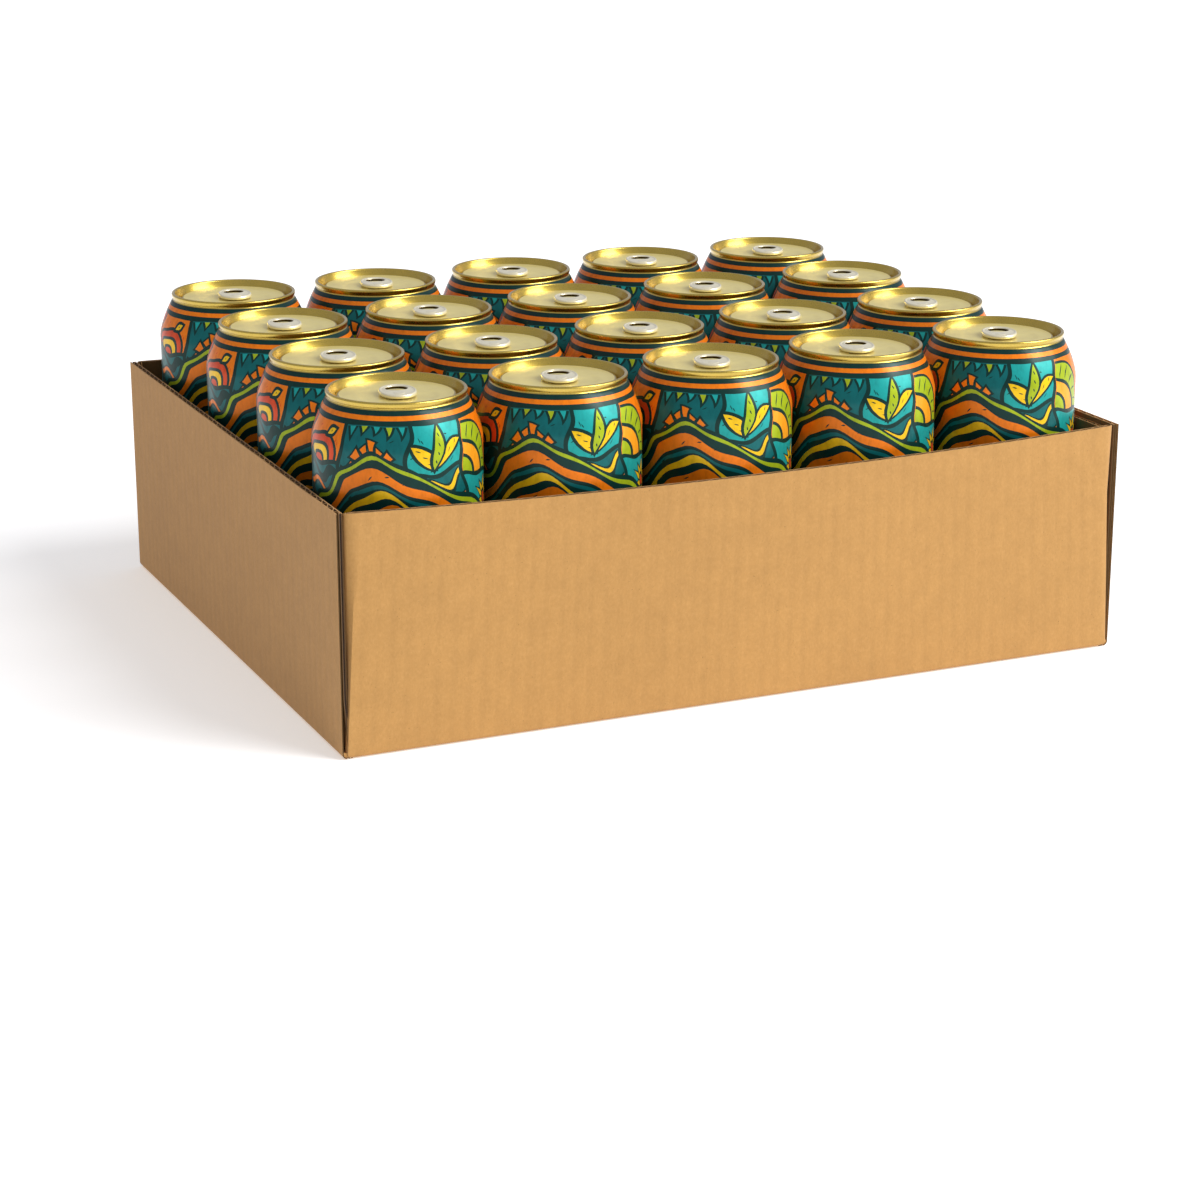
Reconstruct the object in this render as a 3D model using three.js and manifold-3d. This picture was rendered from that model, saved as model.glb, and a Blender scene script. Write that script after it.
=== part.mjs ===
// A tray of twenty drinks cans in an open corrugated tray. Millimetres, +Z up.
// The origin is at the middle of the tray's bottom. The long front wall faces -Y.
import * as THREE from 'three';
import { mergeVertices } from 'three/addons/utils/BufferGeometryUtils.js';
import Module from 'manifold-3d';

const wasm = await Module();
wasm.setup();

// Tray: one folded blank of corrugated board
const trayWidth = 344.8;
const trayDepth = 286.8;
const wallHeight = 97;
const board = 2.5;
const foldRadius = 2.5;
const foldSteps = 3;

// The long walls bow outward and their top edges dip in the middle
const wallBow = 4.5;
const wallDip = 2.4;
const wallColumns = 10;
const wallRows = 2;

// A long wall's ends lean in towards the top and show the side wall's raw edge there
const endInsetTop = 3.2;
const endInsetBottom = 0.7;
const endRound = 1.6;
const rawEdgeSetback = 0.8;
const bottomFoldRise = 2;
const bottomCornerCut = 6;
const bottomCornerRise = 3.4;

// Glue flaps, folded from the long walls and glued inside the side walls
const flapLength = 66;
const flapSlant = 6;
const flapTopDrop = 2;
const flapBottomGap = 2.5;

// Can
const canRadius = 33.1;
const canHeight = 131.2;
const canSides = 20;
const seamRadius = 27.45;
const seamHeight = 2.3;
const seamWidth = 1.5;
const seamUndercut = 0.6;
const neckRadius = 26.8;
const shoulderHeight = 16.8;
const panelDepth = 2.4;
const panelRadius = 22.7;
const countersinkDepth = 5.2;
const countersinkRadius = 24;
const taperHeight = 9.5;
const taperMiddleRadius = 30.2;
const baseRadius = 26.3;
const baseWidth = 2.2;
const domeHeight = 10;

// The domed shoulder between body and neck, as [share of its height, share of the step in radius]
const shoulderPoints = [[0.2, 0.92], [0.44, 0.71], [0.72, 0.41]];

// Ring tab
const tabWidth = 14.6;
const tabLength = 18.6;
const tabThickness = 2;
const tabOffset = -3;
const holeWidth = 8.6;
const holeLength = 6.2;
const holeOffset = 3.3;
const tabSides = 14;
const holeSides = 8;

// Clearance between pieces that touch on the real object
const gap = 0.3;

// Can layout: rows run from the front wall to the back, columns from left to right
const rows = 4;
const columns = 5;
const columnPitch = 67;
const rowPitch = 70;
const gridShift = -1.25;

// How far single cans stand off the regular grid, as [right, back]
const strays = {
  r1_c1: [0, 0.8],
  r1_c2: [0.3, 0],
  r1_c4: [-0.5, 0.4],
  r1_c5: [0, -0.6],
  r2_c2: [0.2, -0.5],
  r2_c3: [1, 0.3],
  r2_c4: [1.8, -0.4],
  r2_c5: [2.3, -1.5],
  r3_c1: [0, -0.6],
  r3_c2: [-0.4, 0.4],
  r3_c3: [-0.9, 0],
  r3_c4: [-1, 0.7],
  r3_c5: [2.2, -0.3],
  r4_c2: [0, -0.5],
  r4_c4: [-0.5, 0.6],
  r4_c5: [-0.5, 0],
};

// Which way a can's front faces, in degrees from the front wall's normal to the left
const middleTurn = 17;
const turnPerColumn = 3;
const turnPerRow = -1.3;

function solidOf(geometry) {
  const bare = geometry.clone();
  bare.deleteAttribute('normal');
  bare.deleteAttribute('uv');
  const merged = mergeVertices(bare, 1e-5);
  return new wasm.Manifold(new wasm.Mesh({
    numProp: 3,
    vertProperties: new Float32Array(merged.attributes.position.array),
    triVerts: new Uint32Array(merged.index.array),
  }));
}

function geometryOf(solid) {
  const mesh = solid.getMesh();
  const geometry = new THREE.BufferGeometry();
  geometry.setAttribute('position', new THREE.BufferAttribute(new Float32Array(mesh.vertProperties), 3));
  geometry.setIndex(new THREE.BufferAttribute(new Uint32Array(mesh.triVerts), 1));
  geometry.computeVertexNormals();
  return geometry;
}

// A closed plate between two grids of points. Each grid is a function of (column, row).
function plateBetween(outer, inner, columnCount, rowCount) {
  const points = [];
  const triangles = [];
  const perSide = (columnCount + 1) * (rowCount + 1);
  for (const side of [outer, inner]) {
    for (let row = 0; row <= rowCount; row += 1) {
      for (let column = 0; column <= columnCount; column += 1) {
        points.push(...side(column, row));
      }
    }
  }
  const at = (side, column, row) => side * perSide + row * (columnCount + 1) + column;
  const quad = (a, b, c, d) => triangles.push(a, b, c, a, c, d);
  for (let row = 0; row < rowCount; row += 1) {
    for (let column = 0; column < columnCount; column += 1) {
      const right = column + 1;
      const up = row + 1;
      quad(at(0, column, row), at(0, right, row), at(0, right, up), at(0, column, up));
      quad(at(1, column, row), at(1, column, up), at(1, right, up), at(1, right, row));
    }
  }
  for (let column = 0; column < columnCount; column += 1) {
    const right = column + 1;
    quad(at(0, column, 0), at(1, column, 0), at(1, right, 0), at(0, right, 0));
    quad(at(0, column, rowCount), at(0, right, rowCount), at(1, right, rowCount), at(1, column, rowCount));
  }
  for (let row = 0; row < rowCount; row += 1) {
    const up = row + 1;
    quad(at(0, 0, row), at(0, 0, up), at(1, 0, up), at(1, 0, row));
    quad(at(0, columnCount, row), at(1, columnCount, row), at(1, columnCount, up), at(0, columnCount, up));
  }
  const geometry = new THREE.BufferGeometry();
  geometry.setAttribute('position', new THREE.BufferAttribute(new Float32Array(points), 3));
  geometry.setIndex(triangles);
  return geometry;
}

// The long front wall: bowed out, dipped at the top, with rounded folds at its ends and bottom
function longWall() {
  const bottomRise = [0, bottomFoldRise, bottomCornerRise];
  const rowHeight = (row) => {
    if (row < bottomRise.length) return bottomRise[row];
    const above = (row - bottomRise.length + 1) / wallRows;
    return bottomCornerRise + (wallHeight - bottomCornerRise) * above;
  };
  const rowCount = bottomRise.length - 1 + wallRows;
  const halfWidth = (z) => {
    const lean = THREE.MathUtils.lerp(endInsetBottom, endInsetTop, z / wallHeight);
    const cut = bottomCornerCut * Math.max(0, 1 - z / bottomCornerRise);
    return trayWidth / 2 - lean - cut;
  };
  const columnCount = wallColumns + 2;
  const columnPlace = (column, z) => {
    const half = halfWidth(z);
    if (column === 0) return -half;
    if (column === columnCount) return half;
    return (half - endRound) * (2 * (column - 1) / wallColumns - 1);
  };
  const point = (column, row, inward) => {
    const z = rowHeight(row);
    const x = columnPlace(column, z);
    const middle = Math.max(0, 1 - (2 * x / trayWidth) ** 2);
    const up = z / wallHeight;
    const atEnd = column === 0 || column === columnCount;
    const roundedEnd = atEnd && inward === 0 ? endRound / 2 : 0;
    const roundedBottom = row === 0 && inward === 0 ? rawEdgeSetback : 0;
    const y = -trayDepth / 2 - wallBow * middle * up + inward + Math.max(roundedEnd, roundedBottom);
    return [x, y, z - wallDip * middle * up];
  };
  const outer = (column, row) => point(column, row, 0);
  const inner = (column, row) => point(column, row, board);
  return plateBetween(outer, inner, columnCount, rowCount);
}

// Floor and side walls as one channel with rounded bottom folds, extruded from front to back
function floorAndSideWalls() {
  const half = trayWidth / 2;
  const outline = new THREE.Shape();
  outline.moveTo(-half, wallHeight);
  outline.lineTo(-half, foldRadius);
  outline.absarc(-half + foldRadius, foldRadius, foldRadius, Math.PI, Math.PI * 1.5);
  outline.absarc(half - foldRadius, foldRadius, foldRadius, Math.PI * 1.5, Math.PI * 2);
  outline.lineTo(half, wallHeight);
  outline.lineTo(half - board, wallHeight);
  outline.lineTo(half - board, board);
  outline.lineTo(-half + board, board);
  outline.lineTo(-half + board, wallHeight);
  const length = trayDepth - 2 * rawEdgeSetback;
  const channel = new THREE.ExtrudeGeometry(outline, {
    depth: length,
    bevelEnabled: false,
    curveSegments: foldSteps,
  });
  channel.rotateX(Math.PI / 2);
  channel.translate(0, length / 2, 0);
  return channel;
}

// The glue flap at the front right corner. It reaches halfway into the side wall, which joins them.
function glueFlap() {
  const front = -trayDepth / 2 + board / 2;
  const back = front + flapLength;
  const bottom = board + flapBottomGap;
  const top = wallHeight - flapTopDrop;
  const outline = new THREE.Shape();
  outline.moveTo(front, bottom);
  outline.lineTo(back, bottom);
  outline.lineTo(back - flapSlant, top);
  outline.lineTo(front, top);
  const flap = new THREE.ExtrudeGeometry(outline, { depth: board + board / 2, bevelEnabled: false });
  flap.rotateX(Math.PI / 2);
  flap.rotateZ(Math.PI / 2);
  flap.translate(trayWidth / 2 - 2 * board, 0, 0);
  return flap;
}

function trayGeometry() {
  const wall = solidOf(longWall());
  const flap = solidOf(glueFlap());
  let tray = solidOf(floorAndSideWalls());
  for (const turn of [0, 180]) {
    tray = tray.add(wall.rotate([0, 0, turn]));
    tray = tray.add(flap.rotate([0, 0, turn]));
    tray = tray.add(flap.mirror([1, 0, 0]).rotate([0, 0, turn]));
  }
  return geometryOf(tray);
}

// Half section of a shut can, from the middle of its base to the middle of its end panel
function canProfile() {
  const top = canHeight;
  const shoulderBottom = top - seamHeight - shoulderHeight;
  const profile = [
    [0, domeHeight],
    [baseRadius - baseWidth, 0],
    [baseRadius, 0],
    [taperMiddleRadius, taperHeight / 2],
    [canRadius, taperHeight],
    [canRadius, shoulderBottom],
  ];
  for (const [along, width] of shoulderPoints) {
    const radius = THREE.MathUtils.lerp(neckRadius, canRadius, width);
    profile.push([radius, shoulderBottom + shoulderHeight * along]);
  }
  profile.push(
    [neckRadius, top - seamHeight - seamUndercut],
    [seamRadius, top - seamHeight],
    [seamRadius, top],
    [seamRadius - seamWidth, top],
    [countersinkRadius, top - countersinkDepth],
    [panelRadius, top - panelDepth],
    [0, top - panelDepth],
  );
  return profile.map(([radius, z]) => new THREE.Vector2(radius, z));
}

function canGeometry() {
  const can = new THREE.LatheGeometry(canProfile(), canSides);
  can.rotateX(Math.PI / 2);
  return can;
}

// An oval outline, as a path of few points
function ovalPath(path, width, length, offset, sides) {
  for (let i = 0; i < sides; i += 1) {
    const angle = (2 * Math.PI * (i + 0.5)) / sides;
    const x = (width / 2) * Math.cos(angle);
    const y = offset + (length / 2) * Math.sin(angle);
    if (i === 0) path.moveTo(x, y);
    else path.lineTo(x, y);
  }
  path.closePath();
  return path;
}

// A flat ring tab. Its nose points to -Y and its finger hole lies over the middle of the end panel.
function tabGeometry() {
  const outline = ovalPath(new THREE.Shape(), tabWidth, tabLength, 0, tabSides);
  const hole = ovalPath(new THREE.Path(), holeWidth, holeLength, holeOffset, holeSides);
  outline.holes.push(hole);
  const tab = new THREE.ExtrudeGeometry(outline, { depth: tabThickness, bevelEnabled: false });
  tab.translate(0, tabOffset, 0);
  return tab;
}

const kraftBoard = new THREE.MeshStandardMaterial({ color: 0xdba76c, roughness: 0.85, metalness: 0 });
const printedCan = new THREE.MeshStandardMaterial({ color: 0x1f9a98, roughness: 0.35, metalness: 0.6 });
const goldTab = new THREE.MeshStandardMaterial({ color: 0xd8c27a, roughness: 0.3, metalness: 1 });

function namedMesh(name, geometry, material) {
  const mesh = new THREE.Mesh(geometry, material);
  mesh.name = name;
  return mesh;
}

const part = new THREE.Group();
part.add(namedMesh('tray', trayGeometry(), kraftBoard));

const can = canGeometry();
const tab = tabGeometry();
for (let row = 1; row <= rows; row += 1) {
  for (let column = 1; column <= columns; column += 1) {
    const key = `r${row}_c${column}`;
    const [right, back] = strays[key] ?? [0, 0];
    const fromMiddle = column - (columns + 1) / 2;
    const place = new THREE.Group();
    place.position.set(
      fromMiddle * columnPitch + right,
      (row - (rows + 1) / 2) * rowPitch + gridShift + back,
      board + gap,
    );
    const turn = middleTurn + turnPerColumn * fromMiddle + turnPerRow * (row - 1);
    place.rotation.z = -THREE.MathUtils.degToRad(turn);
    place.add(namedMesh(`can_${key}`, can, printedCan));
    const ringTab = namedMesh(`tab_${key}`, tab, goldTab);
    ringTab.position.z = canHeight - panelDepth + gap;
    place.add(ringTab);
    part.add(place);
  }
}

export default part;
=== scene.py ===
"""A tray of canned drinks: fine cans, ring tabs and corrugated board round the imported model."""
import math
import random

import bpy
import numpy as np
from mathutils import Matrix, Vector
from mathutils.geometry import delaunay_2d_cdt


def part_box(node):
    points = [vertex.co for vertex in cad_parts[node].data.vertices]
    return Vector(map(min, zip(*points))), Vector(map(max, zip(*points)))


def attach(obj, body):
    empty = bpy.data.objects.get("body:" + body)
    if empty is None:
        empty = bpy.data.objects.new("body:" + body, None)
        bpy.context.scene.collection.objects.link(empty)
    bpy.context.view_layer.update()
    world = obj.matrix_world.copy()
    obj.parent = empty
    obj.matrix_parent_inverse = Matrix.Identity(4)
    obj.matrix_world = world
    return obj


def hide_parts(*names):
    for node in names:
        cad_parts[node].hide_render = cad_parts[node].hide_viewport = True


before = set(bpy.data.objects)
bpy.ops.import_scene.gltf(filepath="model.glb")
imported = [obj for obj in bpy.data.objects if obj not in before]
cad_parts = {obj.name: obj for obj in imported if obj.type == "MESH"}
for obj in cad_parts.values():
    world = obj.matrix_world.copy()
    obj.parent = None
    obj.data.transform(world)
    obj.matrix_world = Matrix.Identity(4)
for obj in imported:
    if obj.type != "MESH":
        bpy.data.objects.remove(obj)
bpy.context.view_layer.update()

MM = 0.001

# Layout of the cans, in the frame's rows and columns
ROWS = 4
COLUMNS = 5
MIDDLE_TURN = 17
TURN_PER_COLUMN = 3
TURN_PER_ROW = -1.3

# Can sizes, in millimetres above the can's own base
CAN_HEIGHT = (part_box("can_r1_c1")[1].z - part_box("can_r1_c1")[0].z) / MM
BODY_RADIUS = 33.1
NECK_RADIUS = 26.8
SEAM_HEIGHT = 2.3
SHOULDER_HEIGHT = 16.8
SHOULDER_POWER = 1.55
PANEL_DEPTH = 2.4
PANEL_HEIGHT = CAN_HEIGHT - PANEL_DEPTH
CAN_SIDES = 72
PRINT_BOTTOM = 6.3
BODY_BOTTOM = 11.5
PRINT_BOTTOM_RADIUS = 29.9
SEAM_GAP = 0.7
SHOULDER_BOTTOM = CAN_HEIGHT - SEAM_HEIGHT - SHOULDER_HEIGHT
PRINT_TOP = CAN_HEIGHT - SEAM_HEIGHT - SEAM_GAP

# Ink colours, as red, green and blue from 0 to 255
INKS = {
    "deep": (8, 50, 44),
    "petrol": (10, 98, 98),
    "teal": (28, 156, 150),
    "orange": (238, 124, 14),
    "amber": (244, 160, 34),
    "yellow": (240, 192, 22),
    "lime": (160, 178, 28),
    "red": (214, 72, 26),
}


def linear(value):
    """One sRGB channel from 0 to 255 as linear light."""
    share = value / 255
    return share / 12.92 if share <= 0.04045 else ((share + 0.055) / 1.055) ** 2.4


def linear_colour(rgb):
    return tuple(linear(v) for v in rgb) + (1.0,)


# Camera, light and floor

CAMERA_PLACE = (-0.508, -1.132, 0.3855)
CAMERA_YAW = -0.421
CAMERA_PITCH = 0.300
CAMERA_LENS = 87.2
SKY_COLOUR = (0.89, 0.915, 1.04, 1)
SKY_STRENGTH = 0.5
FLOOR_HALF = 8.0
FLOOR_BELOW = 0.0003
CORNERS = ((-1, -1), (1, -1), (1, 1), (-1, 1))


def new_object(name, data):
    """An object in the scene."""
    made = bpy.data.objects.new(name, data)
    bpy.context.scene.collection.objects.link(made)
    return made


def add_camera():
    data = bpy.data.cameras.new("camera")
    data.lens = CAMERA_LENS
    data.sensor_width = 36
    data.clip_start = 0.05
    camera = new_object("camera", data)
    camera.location = CAMERA_PLACE
    camera.rotation_euler = (math.pi / 2 - CAMERA_PITCH, 0, CAMERA_YAW)
    bpy.context.scene.camera = camera


def add_light(name, kind, place, target, **values):
    """A light that shines from a place towards a target."""
    data = bpy.data.lights.new(name, kind)
    for key, value in values.items():
        setattr(data, key, value)
    light = new_object(name, data)
    light.location = place
    light.rotation_euler = (Vector(target) - Vector(place)).to_track_quat("-Z", "Y").to_euler()


def add_world():
    world = bpy.data.worlds.new("studio")
    bpy.context.scene.world = world
    world.use_nodes = True
    background = world.node_tree.nodes["Background"]
    set_inputs(background, Color=SKY_COLOUR, Strength=SKY_STRENGTH)


def add_floor():
    """A pale floor that glows a little, as a lit studio table does."""
    mesh = bpy.data.meshes.new("floor")
    mesh.from_pydata([(x * FLOOR_HALF, y * FLOOR_HALF, 0) for x, y in CORNERS], [], [(0, 1, 2, 3)])
    floor = new_object("floor", mesh)
    floor.location.z = -FLOOR_BELOW
    material, _, shader = new_material("pale_floor")
    set_inputs(shader, Base_Color=(0.9, 0.9, 0.9, 1), Roughness=0.9, Specular_IOR_Level=0.0)
    set_inputs(shader, Emission_Color=(1, 0.97, 0.88, 1), Emission_Strength=0.38)
    mesh.materials.append(material)


# Node helpers

def new_material(name):
    material = bpy.data.materials.new(name)
    material.use_nodes = True
    tree = material.node_tree
    return material, tree, tree.nodes["Principled BSDF"]


def plug(socket, value):
    """Links an input to another node's output, or sets its value."""
    if isinstance(value, bpy.types.NodeSocket):
        socket.id_data.links.new(value, socket)
    else:
        socket.default_value = value


def set_inputs(node, **values):
    """Outputs or values for a node's own inputs, whose names have _ for each space."""
    for name, value in values.items():
        plug(node.inputs[name.replace("_", " ")], value)


def add_node(tree, kind, **values):
    """A node with its inputs and properties set by name."""
    node = tree.nodes.new(kind)
    for name, value in values.items():
        if name in node.inputs:
            plug(node.inputs[name], value)
        else:
            setattr(node, name, value)
    return node


def mapped(tree, source, scale):
    """Texture coordinates stretched by scale."""
    return add_node(tree, "ShaderNodeMapping", Vector=source, Scale=scale).outputs["Vector"]


def noise(tree, vector, scale, detail, roughness=0.6):
    node = add_node(tree, "ShaderNodeTexNoise", Vector=vector, Scale=scale, Detail=detail)
    set_inputs(node, Roughness=roughness)
    return node.outputs["Fac"]


def ramp(tree, factor, *stops):
    """Colours or greys along a factor, as (place, colour or share of white)."""
    node = tree.nodes.new("ShaderNodeValToRGB")
    elements = node.color_ramp.elements
    for _ in stops[2:]:
        elements.new(0.5)
    for element, (place, tone) in zip(elements, stops):
        element.position = place
        element.color = (*tone, 1) if isinstance(tone, tuple) else (tone, tone, tone, 1)
    tree.links.new(factor, node.inputs["Fac"])
    return node.outputs["Color"]


def mix_colour(tree, blend, factor, first, second):
    """Two colours mixed. factor, first and second are outputs or values."""
    node = add_node(tree, "ShaderNodeMix", data_type="RGBA", blend_type=blend)
    for place, value in ((0, factor), (6, first), (7, second)):
        plug(node.inputs[place], value)
    return node.outputs[2]


def shaded(tree, colour, factor, *stops):
    """A colour made darker or lighter along a factor, as (place, share of the colour)."""
    return mix_colour(tree, "MULTIPLY", 1.0, colour, ramp(tree, factor, *stops))


def bump(tree, height, strength, distance, below=None):
    node = add_node(tree, "ShaderNodeBump", Height=height, Strength=strength, Distance=distance)
    if below is not None:
        set_inputs(node, Normal=below)
    return node.outputs["Normal"]


# Materials

def print_material():
    """Satin ink over aluminium: the colour comes from the drawn fields, with a hand-cut grain."""
    material, tree, shader = new_material("printed_can")
    ink = add_node(tree, "ShaderNodeAttribute", attribute_name="ink")
    place = tree.nodes.new("ShaderNodeTexCoord").outputs["Object"]
    grain = noise(tree, mapped(tree, place, (1, 1, 0.45)), 420, 5)
    blotch = noise(tree, place, 60, 3)
    colour = shaded(tree, ink.outputs["Color"], grain, (0.3, 0.80), (0.52, 1.0), (0.75, 1.08))
    colour = shaded(tree, colour, blotch, (0.3, 0.92), (0.7, 1.05))
    set_inputs(shader, Base_Color=colour, Roughness=ramp(tree, grain, (0.3, 0.40), (0.7, 0.30)))
    set_inputs(shader, Metallic=0.2, Specular_IOR_Level=0.15, Coat_Weight=0.16, Coat_Roughness=0.16)
    set_inputs(shader, Normal=bump(tree, grain, 0.12, 0.0001))
    return material


def gold_material(name, colour, metallic, roughness, lacquer):
    """Gold aluminium with fine rolled grain under clear lacquer."""
    material, tree, shader = new_material(name)
    place = tree.nodes.new("ShaderNodeTexCoord").outputs["Object"]
    rolled = noise(tree, mapped(tree, place, (1, 0.06, 1)), 2600, 3)
    cloud = noise(tree, place, 70, 3)
    low = tuple(0.88 * c for c in colour)
    high = tuple(min(1.0, 1.06 * c) for c in colour)
    rough = ramp(tree, rolled, (0.25, roughness - 0.04), (0.75, roughness + 0.07))
    set_inputs(shader, Base_Color=ramp(tree, cloud, (0.3, low), (0.7, high)), Roughness=rough)
    set_inputs(shader, Metallic=metallic, Coat_Weight=lacquer, Coat_Roughness=0.12)
    set_inputs(shader, Normal=bump(tree, rolled, 0.04, 0.00005))
    return material


KRAFT_TONES = ((0.39, 0.205, 0.066), (0.485, 0.262, 0.084), (0.60, 0.345, 0.130))
FLUTE = 6.4
WAVES_PER_UNIT = math.tau / 20


def kraft_material(name, tone):
    """Brown kraft liner: matted fibres, specks and faint flutes. UV runs along the board and up it."""
    material, tree, shader = new_material(name)
    along = add_node(tree, "ShaderNodeUVMap", uv_map="board").outputs["UV"]
    place = tree.nodes.new("ShaderNodeTexCoord").outputs["Object"]
    fibre = noise(tree, mapped(tree, along, (1, 0.62, 1)), 950, 6, 0.72)
    mottle = noise(tree, mapped(tree, along, (1, 0.7, 1)), 150, 5, 0.65)
    cloud = noise(tree, place, 13, 3)
    speck = noise(tree, place, 1300, 2)
    dark, middle, light = (tuple(tone * c for c in colour) for colour in KRAFT_TONES)
    colour = ramp(tree, fibre, (0.28, dark), (0.5, middle), (0.74, light))
    colour = mix_colour(tree, "MIX", 0.6, colour, (*middle, 1))
    colour = shaded(tree, colour, mottle, (0.32, 0.945), (0.68, 1.05))
    colour = shaded(tree, colour, cloud, (0.3, 0.965), (0.7, 1.035))
    colour = shaded(tree, colour, speck, (0.25, 0.66), (0.31, 1.0))
    flutes = add_node(tree, "ShaderNodeTexWave", Vector=along, Scale=WAVES_PER_UNIT / (FLUTE * MM))
    set_inputs(flutes, Distortion=0.8, Detail_Scale=0.4)
    colour = shaded(tree, colour, flutes.outputs["Fac"], (0.05, 0.972), (0.5, 1.0))
    set_inputs(shader, Base_Color=colour, Roughness=0.85, Specular_IOR_Level=0.12)
    set_inputs(shader, Sheen_Weight=0.12, Sheen_Roughness=0.5, Sheen_Tint=(0.78, 0.8, 1.0, 1))
    relief = bump(tree, flutes.outputs["Fac"], 0.09, 0.0004)
    relief = bump(tree, fibre, 0.14, 0.0003, relief)
    set_inputs(shader, Normal=bump(tree, mottle, 0.12, 0.0006, relief))
    return material


# Artwork: simple shapes on the can's unrolled side, in millimetres (u round the can, v up its side)

ART_WIDTH = 208.0
FRONT_U = 104.0
GROUT = 1.8
OUTLINE = 1.25


def polar(u, v, radius, turn):
    """The point at a distance and a turn in radians from (u, v)."""
    return u + radius * math.cos(turn), v + radius * math.sin(turn)


def arc(u, v, radius, start, end, steps):
    """Points of an arc round (u, v) between two angles in degrees."""
    turns = [math.radians(start + (end - start) * i / steps) for i in range(steps + 1)]
    return [polar(u, v, radius, turn) for turn in turns]


def moved(u, v, x, y, angle):
    """The point x along and y across from (u, v), turned by angle degrees."""
    c, s = math.cos(math.radians(angle)), math.sin(math.radians(angle))
    return u + x * c - y * s, v + x * s + y * c


def distances(line):
    """How far each point lies along a line."""
    return np.concatenate([[0], np.cumsum(np.hypot(*np.diff(line, axis=0).T))])


def side_profile():
    """The printed side as a dense line: distance along it, radius and height."""
    points = []
    heel_steps, body_step, shoulder_steps = 12, 2.0, 40
    for turn in np.linspace(0, math.pi / 2, heel_steps + 1):
        radius = PRINT_BOTTOM_RADIUS + (BODY_RADIUS - PRINT_BOTTOM_RADIUS) * math.sin(turn)
        height = PRINT_BOTTOM + (BODY_BOTTOM - PRINT_BOTTOM) * (1 - math.cos(turn))
        points.append((radius, height))
    for height in np.arange(BODY_BOTTOM + body_step, SHOULDER_BOTTOM, body_step):
        points.append((BODY_RADIUS, float(height)))
    for height in np.linspace(SHOULDER_BOTTOM, PRINT_TOP, shoulder_steps + 1):
        share = (height - SHOULDER_BOTTOM) / SHOULDER_HEIGHT
        radius = NECK_RADIUS + (BODY_RADIUS - NECK_RADIUS) * (1 - share ** SHOULDER_POWER)
        points.append((radius, height))
    points = np.array(points)
    return distances(points), points[:, 0], points[:, 1]


SIDE_ALONG, SIDE_RADIUS, SIDE_HEIGHT = side_profile()
ART_HEIGHT = float(SIDE_ALONG[-1])
FIELD_LOW = 6.8
FIELD_HIGH = ART_HEIGHT - 5.2


def hand_drawn(u, v):
    """A point moved a little, as a hand-cut line strays. Nothing moves at the stripes or the back seam."""
    beside_seam = min(1.0, u / 9, (ART_WIDTH - u) / 9)
    below = min(1.0, max(0.0, (v - FIELD_LOW) / 8))
    above = min(1.0, max(0.0, (FIELD_HIGH - v) / 8))
    quiet = below * above
    around = math.tau * u / ART_WIDTH
    shift_u = 1.9 * math.sin(v / 6.3 + 0.8) + 0.8 * math.sin(v / 2.7 + 5 * around)
    shift_v = 1.7 * math.sin(5 * around + 0.6) + 0.9 * math.sin(12 * around + v / 8)
    return u + shift_u * beside_seam * quiet, v + shift_v * quiet


def simplified(outline, tolerance=0.085, longest=3.2):
    """The outline without the points that lie nearly on the line between their neighbours."""
    kept = [outline[0]]
    for point, after in zip(outline[1:], outline[2:] + outline[:1]):
        last = kept[-1]
        run = math.dist(last, after)
        area = (after[0] - last[0]) * (point[1] - last[1]) - (after[1] - last[1]) * (point[0] - last[0])
        if run > longest or abs(area) > tolerance * run:
            kept.append(point)
    return kept


def subdivided(outline, longest=1.5):
    """The outline with points added, so that it follows the curved side."""
    points = []
    for start, end in zip(outline, outline[1:] + outline[:1]):
        count = max(1, math.ceil(math.dist(start, end) / longest))
        for i in range(count):
            points.append([a + (b - a) * i / count for a, b in zip(start, end)])
    return points


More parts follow.
